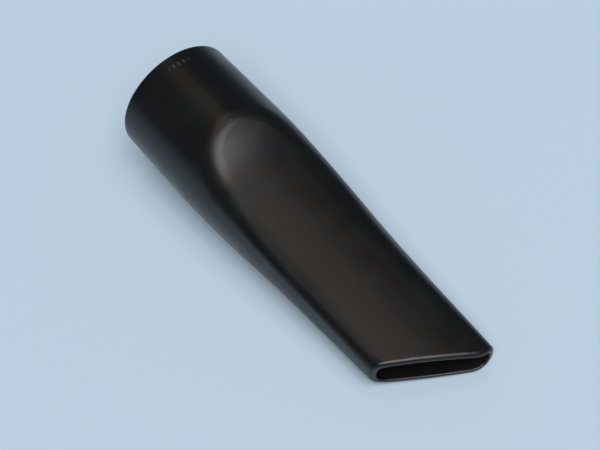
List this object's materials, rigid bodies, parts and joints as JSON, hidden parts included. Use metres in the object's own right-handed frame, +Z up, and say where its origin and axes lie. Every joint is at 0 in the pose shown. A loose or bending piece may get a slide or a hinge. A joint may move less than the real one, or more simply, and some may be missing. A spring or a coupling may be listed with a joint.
{
  "type": "vacuum crevice tool",
  "caption": "Hollow one-piece crevice nozzle: a round push-fit socket that scoops down to a flat tapered blade with a slanted slit mouth.",
  "frame": {"origin": "centre of the bounding box's underside, on the surface that the tool lies on", "axes": "+X runs from the socket to the mouth, seen from above, +Z is up, +Y is the side of the longer mouth corner; the socket's axis lies in the XZ plane, 7.90 degrees nose down"},
  "size_m": [0.127, 0.0386, 0.0417],
  "materials": {
    "black_plastic": "satin, fine moulded grain"
  },
  "bodies": {
    "root": {"crevice_tool": "black_plastic"}
  },
  "joints": []
}
